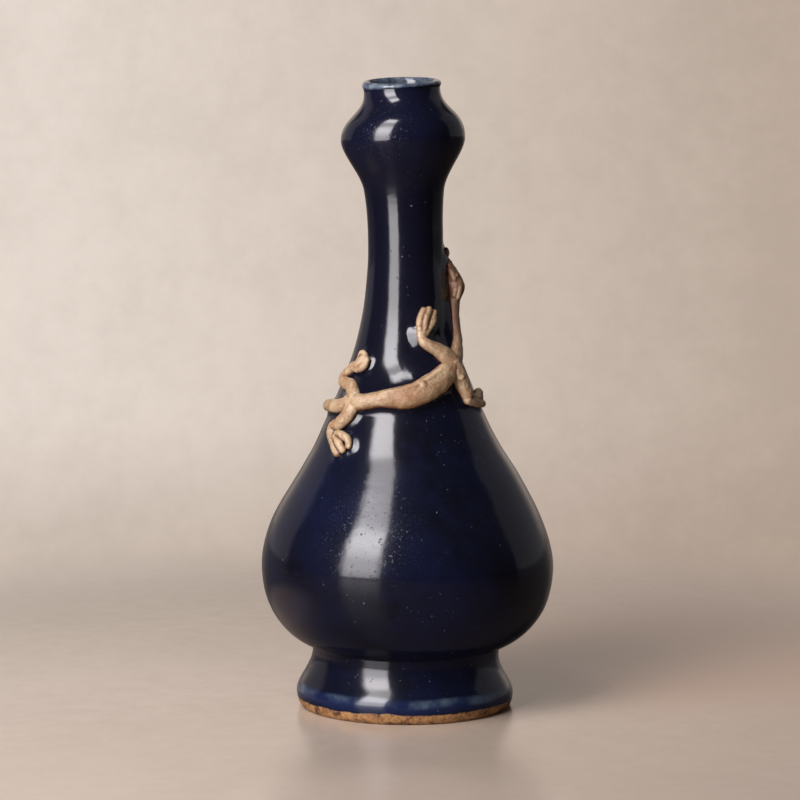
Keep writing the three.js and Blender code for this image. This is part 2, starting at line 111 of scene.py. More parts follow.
# The kiln's slight lean, as (height, value) pairs: how far the axis has moved to the right, and how far a ring rises
# to the right and to the front for each millimetre from the axis.
AXIS_SHIFT = [(0, 0), (10, -0.4), (16, -0.4), (26, 0.5), (40, 0.8), (60, 0.85), (75, 0.7), (86, 1.1), (95, 1.3),
              (103, 0.95), (112, 0.45), (190, 0), (217, -0.95), (227, -1.05), (236, -1.05), (250, -1.6)]
RING_TIP = [(0, 0), (12, -0.004), (60, -0.01), (130, 0), (200, 0.012), (227, 0.034), (245, 0.08), (250, 0.02)]
RING_NOD = [(0, 0), (7, 0.02), (15, 0), (30, 0), (50, 0.045), (59, 0.045), (86, 0), (150, 0), (200, 0.085),
            (236, 0.085), (241, 0.115), (246, 0.09), (248.6, -0.02), (250, -0.05)]

# Ripple of the wall: the middle of the waves at the root of the neck, the dents of the fingers over the height of the
# neck, and the radius inside which the wall is even, with the width over which the ripple grows.
ROOT_WAVES_Z = 106
NECK_DENTS = [(135, 0), (165, 1), (205, 1), (215, 0)]
STILL_RADIUS = 8
STILL_FADE = 6

# Points along a curve before it is respaced, points round the vessel, and rows of points along each line of a section.
CURVE_POINTS = 200
COLUMNS = 360
ROWS = {"under_roll": 28, "foot": 36, "waist": 6, "bowl": 60, "shoulder": 90, "taper": 190, "throat": 24,
        "head_rise": 34, "head_fall": 30, "collar": 12, "lip_over": 10, "lip_under": 8, "recess": 14, "ceiling": 3,
        "rest": 5, "bottom": 8, "floor_turn": 10, "floor": 8, "bowl_inside": 12, "shoulder_inside": 20,
        "neck_inside": 36, "head_inside": 26}

# Where a section's hidden faces start: the ring round the pole under the bowl, the step in from its seam, and the
# step (out, up) from the bore to the lip's inner edge.
POLE_RADIUS = 4
SEAM_STEP = 0.5
MOUTH_STEP = (0.1, 1.2)

# The dragon's datum is the middle of its belly.
DRAGON_Z = NECK_ROOT_Z + 20


class Skirt(NamedTuple):
    """The slip and glaze that a clay piece sits in."""
    above: float  # how far it reaches above the clay
    below: float  # how far it reaches below the clay
    height: float  # how high it stands
    power: float  # of its curve
    thin: float = 60  # the height over the dragon's datum where it has thinned out


SMALL_SKIRT = Skirt(1.0, 1.0, 0.1, 1)
SKIRTS = {
    "dragon_torso": Skirt(12.5, 2.6, 3.0, 2),
    "fore_leg_upper": Skirt(4.6, 3.2, 1.7, 1.1, 28.5),
    "fore_leg_lower": Skirt(3.5, 2.2, 1.0, 1.3),
    "hind_leg_upper": Skirt(2.4, 2.0, 0.9, 1.2),
    "hind_leg_lower": Skirt(2.4, 2.8, 1.2, 1.2),
    "dragon_neck": Skirt(5.0, 5.0, 1.9, 1.3),
    "dragon_head": Skirt(5.5, 5.0, 2.0, 1.3),
    "ear_front": SMALL_SKIRT,
    "ear_back": SMALL_SKIRT,
    "eye_front": SMALL_SKIRT,
    "eye_back": SMALL_SKIRT,
    "pearl_pellet": Skirt(3.0, 2.5, 0.9, 1.3),
    "dragon_tail": Skirt(2.6, 2.2, 0.9, 1.3),
    "tail_curl": Skirt(2.5, 2.0, 0.7, 1.3),
}

# How much wider than a skirt the wall is searched for clay, how softly a skirt runs out, the height over which it
# thins out, the share of its height that is always left, and how often the skirts are blurred.
SKIRT_MARGIN = 1.3
SKIRT_BLEND = 0.002
SKIRT_FADE = 2.5
LEAST_SKIRT = 0.35
SKIRT_BLURS = 3

# The bead of glaze that hugs the clay at the top of a skirt.
BEAD_HEIGHT = 0.25
BEAD_REACH = 0.7
BEAD_POWER = 1.4

# Clay: the sides and the steps between two points of a roll and of a ball, the steps of a rounded end and how far the
# end stays open, and how far a ball's two points lie from its middle.
ROLL_GRID = (20, 7)
BALL_GRID = (16, 2)
TIP_STEPS = 5
TIP_OPEN = 0.35
BALL_STRETCH = 0.2

# The grid that rolls are fused on, the smoothing after it, how deep a roll is pressed into the wall, and the clay's
# unevenness as (depth, size, seed), with the places in the noise that lie a seed apart.
VOXEL = 0.3
SMOOTH_FACTOR = 0.5
SMOOTH_ROUNDS = 4
BED_DEPTH = 0.5
UNEVEN_CLAY = [(0.22, 3.6, 1), (0.08, 1.3, 2), (0.03, 0.6, 3)]
SEED_STEPS = (3.7, 1.9, 5.3)

# Marks on the clay: how far the glaze stains it, how far that line wanders with its noise's (size, seed), and the
# hollows of painted shade and crests of painted highlight, measured against the mean of the neighbours.
NEAR_GLAZE = 1.5
GLAZE_CLEARANCE = 0.1
GLAZE_WANDER = 0.5
WANDER_NOISE = (2.2, 7)
HOLLOW_ROUNDS = 6
CREVICE_SHADE_FROM = 0.004
CREST_HIGHLIGHT_FROM = 0.025
HOLLOW_SPAN = 0.05

# Places in the materials, in metres: the edges of the glaze that is thin or pale, as heights where it is nought and
# where it is whole, and patches as (centre, reach).
THIN_FOOT = ((0.0112, 0.0085), (0.003, 0.0065))
PALE_LINE = ((0.0108, 0.0092), (0.0062, 0.0080))
BARE_RING = (0.0044, 0.0036)
LIP_EDGE = (0.2474, 0.2484)
LIP_BORE = (0.0124, 0.0136)
LIP_SHIFT = 0.0015
LIP_TIP = 0.085
WORN_PATCHES = [((-0.009, -0.0215, 0.231), 0.017), ((-0.016, -0.055, 0.080), 0.030)]
# Where the dragon's neck and head get painted shade, with some toasting: heights and distances to the right.
HEAD_SHADE_AND_TOAST_Z = (0.134, 0.160)
HEAD_SHADE_AND_TOAST_X = (0.014, 0.019)
DARK_PATCH = ((0.002, -0.034, 0.127), 0.014)
PALE_PATCH = ((0.024, -0.030, 0.127), 0.012)

# The floor's half side, and the distance over which it fades into the backdrop.
FLOOR_REACH = 3.0
FLOOR_FADE = (0.22, 0.42)

# The softbox stands at the front left and leans over the vase. An end is (azimuth, distance, height).
KEY_FOOT = (-38.0, 0.64, 0.015)
KEY_HEAD = (-52.0, 0.385, 1.31)
KEY_HALF_WIDTH = 0.19
KEY_PEAK = 14.0

# Brightness of its cloth, from 0 at its foot to 1 at its head and from -1 to 1 across it. The left edge slants.
CLOTH_FOOT = (-0.03, 0.10, 0.6, 1.0)
CLOTH_LOWER = (0.14, 0.31, 0.56, 1.0)
CLOTH_DIP = ((0.38, 0.50), (0.66, 0.58))
DIP_DEPTH = 0.54
CLOTH_HEAD = (0.86, 0.76)
CLOTH_LEFT = (-1.0, -0.55)
CLOTH_RIGHT = (1.0, 0.88)
CLOTH_SLANT = 0.35

# The mirrored room, as sines of the height that a direction has over the level.
BOARD_TOP = (0.75, 0.6)
FAR_WALL_GLOW = ((0.01, 0.05), (0.4, 0.3))

CAMERA_PLACE = (-0.0022, -1.5, 0.319)
CAMERA_PITCH = 7.443
CAMERA_LENS = 170.96


# Outline curves, as (radius, height) points

def cubic(points, count):
    p = np.array(points, float)
    t = np.linspace(0, 1, CURVE_POINTS)[:, None]
    fine = (1 - t) ** 3 * p[0] + 3 * (1 - t) ** 2 * t * p[1] + 3 * (1 - t) * t * t * p[2] + t ** 3 * p[3]
    return respace(fine, count)


def respace(line, count):
    """The same line with count even steps along its length."""
    length = np.concatenate([[0], np.cumsum(np.linalg.norm(np.diff(line, axis=0), axis=1))])
    stations = np.linspace(0, length[-1], count + 1)
    return np.stack([np.interp(stations, length, line[:, axis]) for axis in range(line.shape[1])], axis=1)


def straight(start, end, count):
    return respace(np.array([start, end], float), count)


def swell(start, end, sweep, count):
    """A turn between two rings where the wall stands upright."""
    leave, arrive = sweep
    rise = end[1] - start[1]
    return cubic([start, (start[0], start[1] + leave * rise), (end[0], end[1] - arrive * rise), end], count)


def join(*lines):
    return np.concatenate([line[:-1] for line in lines[:-1]] + [lines[-1]])


def foot_outline():
    out = FOOT_RADIUS - REST_RADIUS
    low, high = UNDER_ROLL_HANDLES
    under = [(REST_RADIUS, 0), (REST_RADIUS + UNDER_ROLL_WIDTH * out, low), (FOOT_RADIUS, high),
             (FOOT_RADIUS, FOOT_ROLL_Z)]
    flare = swell((FOOT_RADIUS, FOOT_ROLL_Z), (WAIST_RADIUS, WAIST_Z), FOOT_SWEEP, ROWS["foot"])
    rise = straight((WAIST_RADIUS, WAIST_Z), (WAIST_RADIUS, CREASE_Z), ROWS["waist"])
    return join(cubic(under, ROWS["under_roll"]), flare, rise)


def bowl_outline():
    out, up = BELLY_RADIUS - WAIST_RADIUS, WIDEST_Z - CREASE_Z
    leave = (WAIST_RADIUS + BOWL_WIDTH * out, CREASE_Z + BOWL_SWEEP[0] * up)
    arrive = (BELLY_RADIUS, WIDEST_Z - BOWL_SWEEP[1] * up)
    return cubic([(WAIST_RADIUS, CREASE_Z), leave, arrive, (BELLY_RADIUS, WIDEST_Z)], ROWS["bowl"])


def shoulder_outline():
    up = NECK_ROOT_Z - WIDEST_Z
    down = SHOULDER_SWEEP[1] * up
    leave = (BELLY_RADIUS, WIDEST_Z + SHOULDER_SWEEP[0] * up)
    arrive = (NECK_ROOT_RADIUS + NECK_ROOT_LEAN * down, NECK_ROOT_Z - down)
    return cubic([(BELLY_RADIUS, WIDEST_Z), leave, arrive, (NECK_ROOT_RADIUS, NECK_ROOT_Z)], ROWS["shoulder"])


def neck_outline():
    rise = THIN_RING_Z - NECK_ROOT_Z
    up = TAPER_SWEEP[0] * rise
    leave = (NECK_ROOT_RADIUS - NECK_ROOT_LEAN * up, NECK_ROOT_Z + up)
    arrive = (NECK_RADIUS, THIN_RING_Z - TAPER_SWEEP[1] * rise)
    taper = cubic([(NECK_ROOT_RADIUS, NECK_ROOT_Z), leave, arrive, (NECK_RADIUS, THIN_RING_Z)], ROWS["taper"])
    leave = (NECK_RADIUS, THIN_RING_Z + THROAT_LEAVES)
    arrive = (HEAD_SEAM_RADIUS - THROAT_ARRIVES[0], HEAD_SEAM_Z - THROAT_ARRIVES[1])
    throat = cubic([(NECK_RADIUS, THIN_RING_Z), leave, arrive, (HEAD_SEAM_RADIUS, HEAD_SEAM_Z)], ROWS["throat"])
    return join(taper, throat)


def head_outline():
    leave = (HEAD_SEAM_RADIUS + HEAD_LEAVES[0], HEAD_SEAM_Z + HEAD_LEAVES[1])
    arrive = (HEAD_RADIUS, HEAD_WIDEST_Z - HEAD_ARRIVES)
    rise = cubic([(HEAD_SEAM_RADIUS, HEAD_SEAM_Z), leave, arrive, (HEAD_RADIUS, HEAD_WIDEST_Z)], ROWS["head_rise"])
    fall = swell((HEAD_RADIUS, HEAD_WIDEST_Z), (COLLAR_RADIUS, COLLAR_Z), HEAD_FALL_SWEEP, ROWS["head_fall"])
    return join(rise, fall)


def collar_outline():
    """Out to the lip, round over its top and down to the bore's edge."""
    mouth = LIP_RADIUS - LIP_WALL
    middle = LIP_RADIUS - LIP_WALL / 2
    along, down = LIP_HANDLE
    side = cubic([(COLLAR_RADIUS, COLLAR_Z), (COLLAR_RADIUS, COLLAR_Z + COLLAR_HANDLES[0]),
                  (LIP_RADIUS, LIP_Z - COLLAR_HANDLES[1]), (LIP_RADIUS, LIP_Z)], ROWS["collar"])
    over = cubic([(LIP_RADIUS, LIP_Z), (LIP_RADIUS, TOP_Z - down), (middle + along, TOP_Z), (middle, TOP_Z)],
                 ROWS["lip_over"])
    under = cubic([(middle, TOP_Z), (middle - along, TOP_Z), (mouth, TOP_Z - down), (mouth, LIP_Z)],
                  ROWS["lip_under"])
    return join(side, over, under)


OUTER = {
    "lower_belly": bowl_outline(),
    "upper_belly": shoulder_outline(),
    "neck": neck_outline(),
    "garlic_head": head_outline(),
}
WALL = join(*OUTER.values())


def wall_radius(z):
    return np.interp(z, WALL[:, 1], WALL[:, 0])


def wall_lean(z):
    """Millimetres that the wall leans in for each millimetre of height."""
    return (wall_radius(np.asarray(z) - 1) - wall_radius(np.asarray(z) + 1)) / 2


def inner_line():
    along = np.gradient(WALL, axis=0)
    along /= np.linalg.norm(along, axis=1)[:, None]
    share = np.clip((WALL[:, 1] - NECK_ROOT_Z) / (HEAD_SEAM_Z - NECK_ROOT_Z), 0, 1)
    reach = BELLY_WALL + (NECK_WALL - BELLY_WALL) * share
    return np.stack([WALL[:, 0] - reach * along[:, 1], WALL[:, 1] + reach * along[:, 0]], axis=1)


INNER = inner_line()


def inside(top, bottom, count):
    heights = np.linspace(top, bottom, count + 1)
    return np.stack([np.interp(heights, INNER[:, 1], INNER[:, 0]), heights], axis=1)


def floor_outline():
    """From the bowl's wall round to the flat floor, and in to the axis."""
    turn = inside(FLOOR_Z + FLOOR_TURN_HEIGHT, FLOOR_Z + FLOOR_TURN_HEIGHT - 1, 1)
    lean = turn[0, 0] - turn[1, 0]
    corner = (turn[0, 0] - lean * FLOOR_TURN_HEIGHT, FLOOR_Z)
    flat = straight((FLOOR_FLAT_RADIUS, FLOOR_Z), (0, FLOOR_Z), ROWS["floor"])
    return join(cubic([tuple(turn[0]), corner, corner, (FLOOR_FLAT_RADIUS, FLOOR_Z)], ROWS["floor_turn"]), flat)


# Shape of the fired clay

def table(z, pairs):
    """Values at heights, from (height, value) pairs."""
    return np.interp(z, [height for height, _ in pairs], [value for _, value in pairs])


def ease(z, pairs):
    """Values at heights, from (height, value) pairs, with the curve level at each pair."""
    values = np.array([value for _, value in pairs])
    station = np.interp(z, [height for height, _ in pairs], np.arange(len(pairs)))
    low = np.minimum(station.astype(int), len(pairs) - 2)
    share = station - low
    return values[low] + (values[low + 1] - values[low]) * share * share * (3 - 2 * share)


def warp(points):
    """The kiln's slight lean: the axis bends and the rings tip."""
    z = points[..., 2]
    out = points.copy()
    out[..., 0] += table(z, AXIS_SHIFT)
    out[..., 2] += table(z, RING_TIP) * points[..., 0] - ease(z, RING_NOD) * points[..., 1]
    return out


def ripple(azimuth, z):
    """Uneven wall from the thrower's hands."""
    a = np.radians(azimuth)
    out_of_round = 0.10 * np.sin(2 * a + 0.6 + 0.012 * z) + 0.06 * np.sin(3 * a - 1.1 + 0.02 * z)
    finger_rings = 0.035 * np.sin(z / 2.9 + 0.5 * np.sin(a)) + 0.03 * np.sin(z / 5.3 + 1.7)
    root_waves = -0.26 * np.sin((z - ROOT_WAVES_Z) / 5.5) * np.exp(-((z - ROOT_WAVES_Z) / 14) ** 2)
    neck_dents = 0.13 * np.sin(3 * a + 1) * table(z, NECK_DENTS)
    return out_of_round + finger_rings + root_waves + neck_dents


def ring_points(line, rippled=True):
    """Rows of points round the axis for an outline, as an array of rows by columns by 3."""
    turn = np.linspace(0, 360, COLUMNS, endpoint=False)
    radius = np.repeat(line[:, :1], COLUMNS, axis=1)
    z = np.repeat(line[:, 1:], COLUMNS, axis=1)
    if rippled:
        radius = radius + ripple(turn[None, :], z) * np.clip((radius - STILL_RADIUS) / STILL_FADE, 0, 1)
    a = np.radians(turn)[None, :]
    return np.stack([radius * np.sin(a), -radius * np.cos(a), z], axis=2)


def surface_normals(points):
    """Normals of a grid of rows and closed columns."""
    around = np.roll(points, -1, axis=1) - np.roll(points, 1, axis=1)
    up = np.gradient(points, axis=0)
    n = np.cross(around, up)
    return n / np.maximum(np.linalg.norm(n, axis=2, keepdims=True), 1e-9)


def make_object(name, verts, faces, normals):
    mesh = bpy.data.meshes.new(name)
    mesh.from_pydata((np.asarray(verts) * MM).tolist(), [], faces)
    mesh.validate()
    mesh.update()
    mesh.polygons.foreach_set("use_smooth", [True] * len(mesh.polygons))
    mesh.normals_split_custom_set_from_vertices(normals.tolist())
    obj = bpy.data.objects.new(name, mesh)
    bpy.context.scene.collection.objects.link(obj)
    return obj


def shell(name, rows, normals, poles=()):
    """A closed solid from rows of a ring each. The loop closes on itself, or at a pole at either end."""
    count = len(rows)
    verts = [rows.reshape(-1, 3)]
    norms = [normals.reshape(-1, 3)]
    first = np.arange(count * COLUMNS).reshape(count, COLUMNS)
    faces = []
    pairs = [(i, i + 1) for i in range(count - 1)]
    if not poles:
        pairs.append((count - 1, 0))
    for low, high in pairs:
        a, b = first[low], np.roll(first[low], -1)
        c, d = np.roll(first[high], -1), first[high]
        faces += np.stack([a, b, c, d], axis=1).tolist()
    for which, pole in enumerate(poles):
        centre = count * COLUMNS + which
        verts.append(np.array([pole], float))
        norms.append(np.array([[0, 0, -1.0 if which == 0 else 1.0]]))
        ring = first[0] if which == 0 else first[-1]
        after = np.roll(ring, -1)
        pair = (after, ring) if which == 0 else (ring, after)
        faces += [[centre, int(i), int(j)] for i, j in zip(*pair)]
    return make_object(name, np.concatenate(verts), faces, np.concatenate(norms))


# Rolls of clay. A point is (azimuth, height over the dragon's datum, lift, half width, half thickness).

def place(azimuth, height, lift):
    a = math.radians(azimuth)
    z = DRAGON_Z + height
    radius = float(wall_radius(z)) + lift
    return np.array([radius * math.sin(a), -radius * math.cos(a), z])


def through(points, steps):
    """A smooth line through the rows of an array, by centripetal Catmull-Rom spans."""
    p = np.array(points, float)
    p = np.concatenate([[2 * p[0] - p[1]], p, [2 * p[-1] - p[-2]]])
    line = []
    for i in range(len(p) - 3):
        a, b, c, d = p[i:i + 4]
        gaps = [max(np.linalg.norm(v[:3] - u[:3]) ** 0.5, 1e-3) for u, v in ((a, b), (b, c), (c, d))]
        leave = (b - a) / gaps[0] - (c - a) / (gaps[0] + gaps[1]) + (c - b) / gaps[1]
        arrive = (c - b) / gaps[1] - (d - b) / (gaps[1] + gaps[2]) + (d - c) / gaps[2]
        m0, m1 = leave * gaps[1], arrive * gaps[1]
        for t in np.linspace(0, 1, steps, endpoint=False):
            line.append((2 * t ** 3 - 3 * t ** 2 + 1) * b + (t ** 3 - 2 * t ** 2 + t) * m0
                        + (3 * t ** 2 - 2 * t ** 3) * c + (t ** 3 - t ** 2) * m1)
    line.append(p[-2])
    return np.array(line)


def wall_normal(point):
    radius = math.hypot(point[0], point[1])
    n = np.array([point[0] / radius, point[1] / radius, float(wall_lean(point[2]))])
    return n / np.linalg.norm(n)


def roll_stations(last):
    """Where a roll's rings lie: the point of its line, the shift along the line, and the share of the full girth."""
    angles = [math.pi / 2 * i / (TIP_STEPS + TIP_OPEN) for i in range(1, TIP_STEPS + 1)]
    start = [(0, -math.sin(angle), math.cos(angle)) for angle in reversed(angles)]
    end = [(last, math.sin(angle), math.cos(angle)) for angle in angles]
    return start + [(i, 0, 1) for i in range(last + 1)] + end


def roll(points, grid=ROLL_GRID):
    """Vertices and faces of a closed, round-ended roll."""
    sides, steps = grid
    line = through([np.concatenate([place(*p[:3]), p[3:5]]) for p in points], steps)
    centre, size = line[:, :3], line[:, 3:]
    tangent = np.gradient(centre, axis=0)
    tangent /= np.linalg.norm(tangent, axis=1)[:, None]
    turn = np.linspace(0, 2 * math.pi, sides, endpoint=False)
    rings = []
    for i, along, share in roll_stations(len(line) - 1):
        middle = centre[i] + along * size[i, 1] * tangent[i]
        out = wall_normal(middle)
        out -= out.dot(tangent[i]) * tangent[i]
        out /= np.linalg.norm(out)
        side = np.cross(tangent[i], out)
        across, off = size[i, 0] * np.cos(turn)[:, None] * side, size[i, 1] * np.sin(turn)[:, None] * out
        rings.append(middle + share * (across + off))
    faces = []
    for r in range(len(rings) - 1):
        for k in range(sides):
            a, b = r * sides + k, r * sides + (k + 1) % sides
            faces.append([a, a + sides, b + sides, b])
    ends = [rings[0].mean(axis=0), rings[-1].mean(axis=0)]
    base, last = len(rings) * sides, (len(rings) - 1) * sides
    for k in range(sides):
        after = (k + 1) % sides
        faces.append([base, k, after])
        faces.append([base + 1, last + after, last + k])
    return np.concatenate(rings + [ends]), faces


def ball(azimuth, height, lift, radius):
    ends = [(azimuth, height + shift, lift, radius, radius) for shift in (-BALL_STRETCH, BALL_STRETCH)]
    return roll(ends, BALL_GRID)


DRAGON = {
    "dragon_torso": [
        roll([(-48, -1.2, 2.2, 3.3, 2.9), (-41, -0.9, 2.5, 3.6, 3.1), (-33, -0.4, 2.6, 3.3, 3.2),
              (-20, 1, 2.7, 3.4, 3.3), (-10, 1.6, 2.8, 4.2, 3.5), (-1, 2, 2.9, 4.8, 3.6), (8, 3.2, 2.9, 4.9, 3.6),
              (17, 5.1, 2.8, 5.1, 3.6), (27, 7.4, 2.7, 5, 3.5), (36, 10, 2.7, 4.5, 3.4), (48, 13.2, 2.5, 3.8, 3.1)]),
        roll([(-30, 1.6, 4.6, 1.1, 1.1), (-14, 3.6, 5, 1.3, 1.2), (2, 5.6, 5.1, 1.5, 1.2),
              (16, 8.4, 5, 1.5, 1.2), (30, 11.6, 4.6, 1.4, 1.1)]),
        ball(12, 6.6, 5.6, 1.5),
        ball(-42, 1.0, 4.4, 1.6),
    ],
    "fore_leg_upper": [
        roll([(49, 13.6, 2.5, 4.1, 3.1), (42.4, 16.2, 2.5, 3.8, 3), (33, 19.3, 2.2, 3, 2.6),
              (24.5, 21, 2, 2.4, 2.3), (18.5, 22.8, 1.8, 2.2, 2.1), (16.8, 25.6, 1.7, 2, 1.9)]),
        roll([(17.4, 25.6, 1.4, 2.2, 1.8), (21.6, 28.8, 1.4, 3, 1.8), (27.6, 32, 1.2, 2.9, 1.5)]),
        roll([(15.4, 26, 1.8, 1.4, 1.4), (15.8, 30.5, 2.1, 1.6, 1.5), (22.6, 34.6, 1.4, 1.4, 1.2)]),
        roll([(18.8, 26.2, 2.2, 1.3, 1.4), (22.4, 31, 2.6, 1.6, 1.5), (29.6, 35, 1.7, 1.5, 1.2)]),
        roll([(21.4, 25.6, 1.9, 1.4, 1.4), (31, 30.6, 2.1, 1.8, 1.5), (36.6, 33.6, 1.5, 1.4, 1.2)]),
    ],
    "fore_leg_lower": [
        roll([(47, 13.2, 2.7, 3.9, 3.2), (50.5, 9.6, 2.9, 3.7, 3.2), (52.6, 5.4, 2.7, 3.3, 2.9),
              (54.6, 1.4, 2.4, 2.7, 2.6)]),
        roll([(45.8, 10.8, 4.4, 1.9, 1.6), (48.6, 8.6, 4.6, 2, 1.6)]),
        roll([(54, -0.4, 2.1, 2.2, 2.1), (64, -2.1, 2, 2, 1.9), (76.5, -3.4, 1.7, 1.7, 1.6)]),
        roll([(56, 0.4, 2.2, 1.7, 1.8), (66, -0.6, 2.2, 1.6, 1.7), (76, -0.8, 2, 1.6, 1.6)]),
        roll([(70, 0, 2.1, 1.5, 1.6), (76, 0.9, 2.3, 1.9, 1.8), (80, 0.4, 2, 1.7, 1.6)]),
    ],
    "hind_leg_upper": [
        roll([(-44, 1.5, 2.4, 2.9, 2.6), (-52, 4.9, 2.3, 2.8, 2.5), (-66, 5.9, 2, 2.5, 2.2),
              (-69, 7.8, 1.8, 2.2, 2), (-64.5, 9.9, 1.7, 2, 1.9), (-57, 12.3, 1.8, 2.1, 1.9)]),
        roll([(-55, 12, 1.8, 2.2, 1.9), (-48.4, 13.8, 2.2, 2.6, 2.1), (-45, 15.8, 1.9, 2.2, 1.9)]),
        roll([(-51, 15, 2.2, 1.3, 1.4), (-48.4, 17.6, 2.1, 1.4, 1.4), (-45, 17.2, 2, 1.3, 1.3)]),
        roll([(-51, 11.4, 1.9, 1.5, 1.6), (-44, 12.6, 2.2, 1.7, 1.6), (-41.6, 15.2, 1.9, 1.5, 1.4)]),
    ],
    "hind_leg_lower": [
        roll([(-42, -1.4, 2.6, 3.1, 2.8), (-44.5, -5.6, 2.7, 3, 2.7), (-50, -9.4, 2.4, 2.6, 2.4),
              (-56, -10.9, 2.1, 2.2, 2.1), (-55.4, -13.6, 2, 2.1, 2), (-51, -16.4, 2, 2.2, 2)]),
        roll([(-51.4, -15.2, 2, 2, 1.9), (-48.6, -18.4, 2, 1.9, 1.8), (-46, -20.8, 1.5, 1.5, 1.4)]),
        roll([(-49.4, -14.6, 2.4, 1.7, 1.7), (-45, -16.6, 2.6, 1.7, 1.7), (-41.6, -19, 1.9, 1.5, 1.4)]),
        roll([(-49.4, -13.4, 2.1, 1.5, 1.6), (-44, -13.6, 2.5, 1.7, 1.7), (-39, -15, 2.2, 1.6, 1.6),
              (-38, -17.4, 1.7, 1.4, 1.3)]),
    ],
    "dragon_neck": [roll([
        (49, 13.8, 2.7, 3.6, 3), (58, 17.2, 2.3, 3.1, 2.6), (69, 21.5, 1.8, 2.8, 2.1), (78, 26.5, 1.7, 2.7, 1.8),
        (85, 31, 1.9, 2.7, 1.9), (90, 35, 2.3, 2.9, 2.3), (93.5, 39.5, 3, 3.2, 2.9)])],
    "dragon_head": [
        roll([(92.5, 38.4, 3, 3.1, 2.8), (94, 42, 3.8, 4.1, 3.9), (96, 45.6, 3.3, 3.7, 3.3),
              (98, 49, 2.4, 3, 2.4), (100, 52.4, 1.3, 2.1, 1.6)]),
        roll([(86, 45.4, 3.6, 1.3, 1.3), (88, 48.4, 2.8, 1.3, 1.2)]),
        roll([(104, 45.4, 3.6, 1.3, 1.3), (104, 48.4, 2.8, 1.3, 1.2)]),
        roll([(86, 41, 3.9, 1.7, 1.5), (84.5, 39, 3.2, 1.5, 1.3)]),
        roll([(92, 50.6, 2.2, 1.1, 1.1), (99, 51.6, 2.6, 1.2, 1.1), (106, 50.6, 2.2, 1.1, 1.1)]),
    ],
    "ear_front": [roll([(88, 43, 5.6, 1.2, 1.1), (84.5, 40.6, 5.4, 1.1, 1), (82.5, 38, 4.4, 0.8, 0.8)])],
    "ear_back": [roll([(102, 43, 5.6, 1.2, 1.1), (106, 40.6, 5.4, 1.1, 1), (109, 38, 4.4, 0.8, 0.8)])],
    "eye_front": [ball(87.5, 46.6, 4.7, 1)],
    "eye_back": [ball(104.5, 46.6, 4.7, 1)],
    "pearl_pellet": [roll([(98, 54.2, 1.1, 1.5, 1.2), (99, 55.4, 1.2, 1.7, 1.4), (100, 56.6, 1.1, 1.5, 1.2)])],
    "dragon_tail": [roll([
        (-47, -1.2, 2.1, 2.7, 2.3), (-56, -2.8, 2.2, 2.8, 2.4), (-64, -3.6, 2.1, 2.8, 2.4),
        (-75, -4, 1.8, 2.6, 2.2), (-92, -5.2, 1.5, 2.4, 1.9), (-112, -6, 1.4, 2.2, 1.8), (-132, -4, 1.5, 2.1, 1.8),
        (-148, 2.5, 1.5, 2, 1.8), (-158, 11, 1.4, 1.9, 1.7), (-166, 19.5, 1.4, 1.8, 1.6),
        (-178, 27, 1.3, 1.6, 1.5), (-195, 30.5, 1.2, 1.5, 1.4), (-211, 27.5, 1.2, 1.4, 1.3),
        (-209, 22.5, 1.2, 1.3, 1.2), (-198, 22, 1.1, 1.1, 1.1)])],
    "tail_curl": [roll([
        (-156, 10, 1.4, 1.7, 1.5), (-149, 17, 1.3, 1.6, 1.4), (-138, 22, 1.2, 1.5, 1.3),
        (-124, 22.5, 1.2, 1.3, 1.2), (-120, 18, 1.1, 1.2, 1.1), (-130, 16, 1.1, 1, 1)])],
}


def fuse(name, rolls):
    """One closed clay mesh from the rolls of a piece, still in millimetres."""
    verts, faces, base = [], [], 0
    for points, quads in rolls:
        verts.append(points)
        faces += [[base + i for i in face] for face in quads]
        base += len(points)
    mesh = bpy.data.meshes.new(name)
    mesh.from_pydata(np.concatenate(verts).tolist(), [], faces)
    obj = bpy.data.objects.new(name, mesh)
    bpy.context.scene.collection.objects.link(obj)
    remesh = obj.modifiers.new("fuse", "REMESH")
    remesh.mode = "VOXEL"
    remesh.voxel_size = VOXEL
    smooth = obj.modifiers.new("soften", "SMOOTH")
    smooth.factor = SMOOTH_FACTOR
    smooth.iterations = SMOOTH_ROUNDS
    depsgraph = bpy.context.evaluated_depsgraph_get()
    fused = bpy.data.meshes.new_from_object(obj.evaluated_get(depsgraph))
    obj.modifiers.clear()
    obj.data = fused
    bpy.data.meshes.remove(mesh)
    return obj


def vertex_array(mesh, key):
    """The vertices' places or normals, as key says, as rows of 3."""
    values = np.empty(len(mesh.vertices) * 3)
    mesh.vertices.foreach_get(key, values)
    return values.reshape(-1, 3)


def clay_noise(co, size, seed):
    shift = Vector([seed * step for step in SEED_STEPS])
    return np.array([noise.noise(Vector(p) / size + shift) for p in co.tolist()])


def finish_clay(obj):
    """Uneven handwork, the pressed underside, and the change from millimetres to metres."""
    mesh = obj.data
    co = vertex_array(mesh, "co")
    uneven = sum(depth * clay_noise(co, size, seed) for depth, size, seed in UNEVEN_CLAY)
    co = co + vertex_array(mesh, "normal") * uneven[:, None]
    radius = np.hypot(co[:, 0], co[:, 1])
    bed = wall_radius(co[:, 2]) - BED_DEPTH
    low = radius < bed
    co[low, :2] *= (bed[low] / radius[low])[:, None]
    mesh.vertices.foreach_set("co", (warp(co) * MM).ravel())
    mesh.update()
    mesh.polygons.foreach_set("use_smooth", [True] * len(mesh.polygons))
    return obj


dragon = {name: finish_clay(fuse(name, rolls)) for name, rolls in DRAGON.items()}


# The vessel's sections

